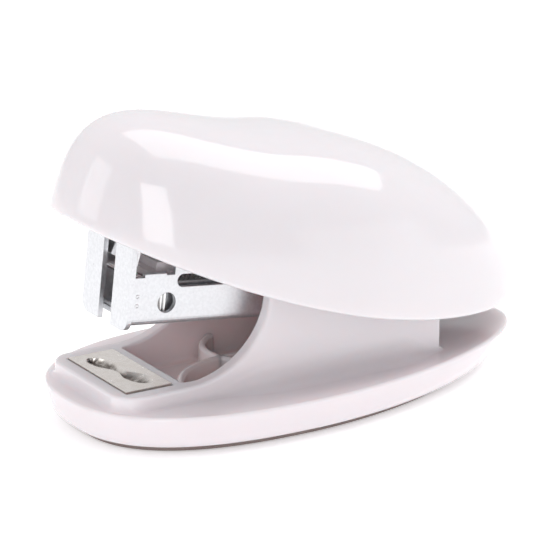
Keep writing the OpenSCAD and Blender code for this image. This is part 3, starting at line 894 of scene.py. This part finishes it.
@dataclass
class AnvilPlate:
    """The plate that bends the staple's legs, with two tear-drop pockets that meet in a twist."""

    half: float = 7.25
    length: float = 6.3
    thick: float = 0.8
    front: float = -28.0
    top: float = 7.12
    deep: float = 0.68
    slant: float = 0.17
    reach: float = 5.7

    def depth(self, x: float, y: float) -> float:
        """Returns how far the pockets go below the plate's face at a place measured from its middle."""
        along = abs(x)
        if along >= self.reach:
            return 0.0
        wide = 0.5 + 0.8 * eased(along, 0.2, 3.0)
        if along > 3.9:
            wide *= math.sqrt(max(0.0, 1 - ((along - 3.9) / (self.reach - 3.9)) ** 2))
        across = (y - self.slant * x) / max(wide, 1e-6)
        if abs(across) >= 1.0:
            return 0.0
        lowest = math.copysign(0.48, -x) * eased(along, 0.1, 1.2)
        fall = (1 - across) / (1 - lowest) if across > lowest else (1 + across) / (1 + lowest)
        ramp = 0.45 + 0.55 * eased(along, 0.2, 2.6)
        return self.deep * ramp * (1 - (1 - fall) ** 1.3) * min(1.0, wide * 1.6)

    def build(self, bench: Bench) -> None:
        """Builds and mounts the plate."""
        stock = Stock("anvil")
        columns, rows = 174, 80
        middle = self.front + self.length / 2
        grid = []
        for j in range(rows + 1):
            y = -self.length / 2 + self.length * j / rows
            grid.append([stock.mesh.verts.new((x, middle + y, self.top - self.depth(x, y)))
                         for x in sweep(-self.half, self.half, columns)])
        for low, high in zip(grid, grid[1:]):
            for k in range(columns):
                stock.mesh.faces.new((low[k], low[k + 1], high[k + 1], high[k]))
        rim = grid[0] + [r[-1] for r in grid[1:]] + grid[-1][-2::-1] + [r[0] for r in grid[-2:0:-1]]
        under = [stock.mesh.verts.new((v.co.x, v.co.y, self.top - self.thick)) for v in rim]
        for k in range(len(rim)):
            n = (k + 1) % len(rim)
            stock.mesh.faces.new((rim[n], rim[k], under[k], under[n]))
        stock.mesh.faces.new(under)
        bench.mount(stock.solid(), Body.BASE, Slot.ANVIL, 24.0, ("anvil_plate",))


@dataclass
class LiftLeaf:
    """The bent leaf spring that lifts the magazine, riveted to the pocket's floor."""

    thick: float = 0.35
    half: float = 3.0
    low: float = 3.4
    rear: float = 9.0
    bend: float = 5.0
    tip: float = -4.0
    top: float = 11.12
    power: float = 1.6
    corner: float = 0.9
    chamfer: float = 0.3
    keep: float = 0.7

    def height(self, y: float) -> float:
        """Returns the height of the leaf's lower face."""
        share = max(0.0, (self.bend - y) / (self.bend - self.tip))
        return self.low + (self.top - self.low) * share ** self.power

    def build(self, bench: Bench) -> None:
        """Builds and mounts the leaf."""
        stock = Stock("lift_leaf")
        rings = []
        step, low, high = 0.05, self.chamfer, 1.0 - self.chamfer
        for y in sweep(self.rear, self.tip, 48):
            end = min(self.rear - y, y - self.tip)
            half = self.half - self.corner * (1 - math.sqrt(1 - max(0.0, 1 - end / self.corner) ** 2))
            slope = (self.height(y - step) - self.height(y + step)) / (2 * step)
            across = Vector((0.0, slope, 1.0)).normalized() * self.thick
            edge = self.chamfer * self.thick
            ring = []
            for x, up in ((half - edge, 0.0), (half, low), (half, high), (half - edge, 1.0),
                          (edge - half, 1.0), (-half, high), (-half, low), (edge - half, 0.0)):
                ring.append((x, y + across.y * up, self.height(y) + across.z * up))
            rings.append(ring)
        stock.skin(rings)
        piece = bench.mount(stock.solid(), Body.BASE, Slot.SPRING, 40.0, ("lift_spring",))
        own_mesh(piece)


# ---- magazine --------------------------------------------------------------


@dataclass
class StapleStrip:
    """The staples left in the magazine, each one a bent wire."""

    count: int = 8
    width: float = 9.5
    wire: float = 0.5
    leg: float = 4.7
    pitch: float = 0.525
    front: float = -35.05
    crown: float = 0.65 + 4.7 - 0.45 + 0.1
    floor: float = -4.15

    def build(self, bench: Bench, hinge: Hinge) -> None:
        """Builds and mounts the strip."""
        stock = Stock("staples", hinge.magazine())
        half, r = self.width / 2 - self.wire / 2, 0.35
        top = self.floor + self.crown + self.wire / 2
        foot = self.floor + self.crown + self.wire - self.leg + 0.05
        for k in range(self.count):
            y = self.front + self.pitch * k + self.wire / 2
            path = [Vector((-half, y, foot)), Vector((-half, y, top - r))]
            path += [Vector((-half + r - r * math.cos(a), y, top - r + r * math.sin(a)))
                     for a in sweep(0.3, math.pi / 2, 4)]
            path += [Vector((half - r + r * math.sin(a), y, top - r + r * math.cos(a)))
                     for a in sweep(0.0, math.pi / 2 - 0.3, 4)]
            path += [Vector((half, y, top - r)), Vector((half, y, foot))]
            stock.tube(path, self.wire / 2, 12)
        bench.mount(stock.solid(), Body.MAGAZINE, Slot.STAPLE, 50.0, ("staple_strip",))


@dataclass
class Coil:
    """A wound spring whose first and last turns lie closer together."""

    name: str
    node: str
    radius: float
    wire: float
    turns: float
    joint: str
    keep: float
    end_turns: float = 0.75
    end_pitch: float = 0.6

    def rise(self, share: float) -> float:
        """Returns how far up its axis the wire is, as a share, at a share of the way along the wire."""
        closed = self.end_turns / self.turns
        low, high = closed * closed * self.end_pitch, 1 - closed * closed * self.end_pitch
        if share < closed:
            return share * closed * self.end_pitch
        if share > 1 - closed:
            return 1 - (1 - share) * self.end_pitch * closed
        return low + (high - low) * (share - closed) / (1 - 2 * closed)

    def build(self, bench: Bench, start: Vector, end: Vector, still: Vector) -> None:
        """Builds and mounts the spring.

        Args:
            bench: the finishing bench.
            start: one end of its axis, in millimetres.
            end: the other end.
            still: the end that stays where it is as the spring closes; not used.
        """
        axis = end - start
        turn = Vector((0.0, 0.0, 1.0)).rotation_difference(axis.normalized()).to_matrix().to_4x4()
        stock = Stock(self.name, Matrix.Translation(start) @ turn)
        length, per_turn = axis.length - self.wire, 22
        steps = int(self.turns * per_turn)
        path = []
        for k in range(steps + 1):
            share = k / steps
            a = math.tau * self.turns * share
            path.append(Vector((self.radius * math.cos(a), self.radius * math.sin(a),
                                self.wire / 2 + length * self.rise(share))))
        stock.tube(path, self.wire / 2, 8)
        piece = bench.mount(stock.solid(), Body.MAGAZINE, Slot.SPRING, 60.0, (self.node,))
        tuple(still * MM)
        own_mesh(piece)


@dataclass
class Magazine:
    """The springs, staples and punched marks that dress the magazine channel."""

    front: float = -36.6
    half: float = 5.5
    floor: float = -4.15
    marks: tuple[Flat, ...] = ((1.15, 3.75), (1.15, 2.6))
    rod_up: float = 5.45
    rod_ends: Flat = (-29.6, -4.1)
    coil_y: float = -20.9
    coil_ends: Flat = (3.4, 8.9)

    def punch_marks(self, bench: Bench, hinge: Hinge) -> None:
        """Builds the small dents punched near the front of both walls."""
        stock = Stock("punch_marks", hinge.magazine())
        for side in (-1, 1):
            for back, up in self.marks:
                where = Matrix.Translation((side * self.half, self.front + back, self.floor + up))
                axis = where @ Matrix.Rotation(side * math.pi / 2, 4, "Y")
                stock.turned(((0.27, -0.02), (0.25, 0.02), (0.2, 0.035), (0.15, 0.02), (0.06, -0.03)), axis, 20)
        bench.mount(stock.solid(), Body.MAGAZINE, Slot.PIN, 60.0)

    def build(self, bench: Bench, hinge: Hinge) -> None:
        """Builds and mounts the pieces."""
        StapleStrip().build(bench, hinge)
        place = hinge.magazine()
        front, rear = (place @ Vector((0.0, y, self.floor + self.rod_up)) for y in self.rod_ends)
        Coil("feed_spring", "pusher_spring", 1.55, 0.28, 39, "pusher_slide", 0.49).build(bench, front, rear, rear)
        half_way = hinge.place((hinge.magazine_raised + hinge.cover_raised) / 2)
        seat, lever = (half_way @ Vector((0.0, self.coil_y, z)) for z in self.coil_ends)
        Coil("cover_coil", "cover_spring", 2.1, 0.45, 4.5, "cover_hinge", 0.37).build(bench, seat, lever, seat)
        self.punch_marks(bench, hinge)


# ---- cover -----------------------------------------------------------------


@dataclass
class TopShell:
    """The smooth domed shell that the hand presses, with its rolled lower edge and two screw bosses."""

    forward: float = 11.35
    drop: float = 3.1
    crest: float = 19.3
    fall: float = 5.2
    hump_from: float = 8.0
    hump: float = 0.0185
    rise: float = 2.9
    power: float = 2.8
    wall: float = 1.3
    boss_places: tuple[float, ...] = (-27.5, -8.0)
    boss_low: float = 8.4
    egg: Egg = field(default_factory=lambda: Egg(17.5, 33.5, 33.9, 2.05, 1.75, 0.0, 220))

    def edge_z(self, y: float) -> float:
        """Returns the height of the shell's lower edge."""
        return self.rise * (y / 30.0) ** 2

    def crest_z(self, y: float) -> float:
        """Returns the height that the dome is drawn up to."""
        hump = self.hump * (y + self.hump_from) ** 2 if y < -self.hump_from else 0.0
        return self.crest - self.fall * (y / 30.0) ** 2 + hump

    def ring(self, lift: float, inset: float) -> list[Point]:
        """Returns one ring of the dome; lift is 0 at the edge and a right angle at the crest."""
        out, up = math.cos(lift) ** (2 / self.power), math.sin(lift) ** (2 / self.power)
        return [(x, y, self.edge_z(y) + up * (self.crest_z(y) - inset - self.edge_z(y)))
                for x, y in self.egg.flat(inset, out)]

    def rim(self, turn: float) -> list[Point]:
        """Returns one ring of the rolled lower edge, from the outer wall at 0 to the inner wall at pi."""
        inset = self.wall / 2 * (1 - math.cos(turn))
        height = 0.55 * (1 - math.sin(turn))
        return [(x, y, self.edge_z(y) + height) for x, y in self.egg.flat(inset)]

    def build(self, bench: Bench, hinge: Hinge) -> None:
        """Builds and mounts the shell."""
        local = hinge.cover() @ Matrix.Translation((0.0, -self.forward, -self.drop))
        stock = Stock("dome_shell", local)
        lifts = [math.pi / 4 * (1 + math.cos(math.pi * t)) for t in sweep(0.02, 0.88, 46)]
        rings = [self.ring(lift, 0.0) for lift in lifts]
        rings += [self.rim(a) for a in sweep(0.0, math.pi, 8)]
        rings += [self.ring(lift, self.wall) for lift in reversed(lifts)]
        stock.skin(rings)
        shell = stock.solid()
        bosses = Stock("screw_bosses", hinge.cover())
        for y in self.boss_places:
            along = y + self.forward
            length = self.egg.front if along < 0 else self.egg.rear
            up = (1 - (abs(along) / length) ** self.power) ** (1 / self.power)
            top = self.edge_z(along) + up * (self.crest_z(along) - self.edge_z(along)) - self.drop - self.wall / 2
            profile = [(2.0, self.boss_low), (2.2, self.boss_low + 0.2), (2.25, top - 2.2)]
            profile += [(2.25 + 0.9 * (1 - math.cos(a)), top - 2.2 + 1.6 * math.sin(a))
                        for a in sweep(0.3, math.pi / 2, 4)]
            bosses.turned(profile, Matrix.Translation((0.0, y, 0.0)))
        bench.absorb(shell, bosses.solid())
        bench.mount(shell, Body.COVER, Slot.SHELL, 40.0, ("top_shell",))


# ---- studio ----------------------------------------------------------------


@dataclass
class Softbox:
    """One large soft light."""

    name: str
    place: Point
    aim: Point
    size: Flat
    power: float

    def build(self) -> None:
        """Hangs the light."""
        data = bpy.data.lights.new(self.name, "AREA")
        data.shape = "RECTANGLE"
        data.size, data.size_y = self.size
        data.energy = self.power
        lamp = bpy.data.objects.new(self.name, data)
        bpy.context.scene.collection.objects.link(lamp)
        lamp.location = self.place
        lamp.rotation_euler = (Vector(self.aim) - Vector(self.place)).to_track_quat("-Z", "Y").to_euler()


@dataclass
class Studio:
    """The floor, the lights and the camera."""

    turn: float = 58.55
    up: float = 18.32
    away: float = 0.45
    aim: Point = (0.0, -0.002078, 0.01468)
    lens: float = 234.6
    world: float = 1.0
    backdrop: Colour = (0.8, 0.79, 0.8)
    room: Colour = (0.42, 0.41, 0.42)
    turn_over: Flat = (-0.2, 0.75)
    floor_radii: tuple[float, ...] = (50.0, 600.0, 1800.0, 3000.0)
    floor_sides: int = 96
    floor_gap: float = 0.02
    boxes: tuple[Softbox, ...] = (
        Softbox("overhead_box", (0.0, 0.42, 0.62), (0.0, 0.42, 0.0), (0.5, 1.0), 3.4),
        Softbox("front_box", (-0.1, -0.7, 0.3), (0.0, 0.0, 0.02), (0.4, 0.5), 0.9),
        Softbox("near_box", (0.75, -0.52, 0.3), (0.0, 0.0, 0.01), (0.3, 0.6), 1.8),
        Softbox("side_fill", (0.7, 0.65, 0.12), (0.0, 0.0, 0.01), (0.8, 0.3), 0.45),
    )

    def floor(self) -> None:
        """Lays the floor, a wide flat disc just under the stapler."""
        stock = Stock("floor")
        stock.skin([[(r * math.cos(a), r * math.sin(a), -self.floor_gap) for a in circle(self.floor_sides)]
                    for r in self.floor_radii], capped=False)
        stock.mesh.faces.new(list(stock.mesh.verts)[:self.floor_sides])
        ground = stock.solid()
        ground.data.materials.append(StudioFloor().make())

    def camera(self) -> None:
        """Sets up the camera."""
        data = bpy.data.cameras.new("camera")
        data.lens = self.lens
        data.sensor_width = 36.0
        data.clip_start, data.clip_end = 0.01, 20.0
        eye = bpy.data.objects.new("camera", data)
        bpy.context.scene.collection.objects.link(eye)
        turn, up = math.radians(self.turn), math.radians(self.up)
        look = Vector((math.sin(turn) * math.cos(up), -math.cos(turn) * math.cos(up), math.sin(up)))
        eye.location = Vector(self.aim) + look * self.away
        eye.rotation_euler = look.to_track_quat("Z", "Y").to_euler()
        bpy.context.scene.camera = eye

    def sky(self) -> None:
        """Lights the whole room softly, from the backdrop's tone behind the stapler to the room's in front."""
        world = bpy.data.worlds.new("studio")
        world.use_nodes = True
        graph = Graph(world.node_tree)
        way = graph.node("ShaderNodeTexCoord", {}, {}, output="Generated")
        turn = math.radians(self.turn)
        near = graph.node("ShaderNodeVectorMath", {"operation": "DOT_PRODUCT"},
                          {0: way, 1: (math.sin(turn), -math.cos(turn), 0.0)}, output="Value")
        back = world.node_tree.nodes["Background"]
        graph.plug(back.inputs["Color"], near.between(*self.turn_over).tint(self.backdrop, self.room))
        back.inputs["Strength"].default_value = self.world
        bpy.context.scene.world = world
        bpy.context.scene.view_settings.view_transform = "Standard"

    def build(self) -> None:
        """Builds the studio."""
        self.camera()
        self.sky()
        self.floor()
        for box in self.boxes:
            box.build()


def main() -> None:
    """Builds every piece in order."""
    logging.basicConfig(level=logging.INFO, format="%(message)s")
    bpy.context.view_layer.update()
    Studio().build()
    finishes = Finishes()
    finishes.dress_frame()
    bench = Bench(finishes)
    hinge = Hinge()
    plate = AnvilPlate()
    BaseMoulding().build(bench, plate)
    plate.build(bench)
    LiftLeaf().build(bench)
    Magazine().build(bench, hinge)
    TopShell().build(bench, hinge)
    LOG.info("all pieces are mounted")


if __name__ == "__main__":
    main()
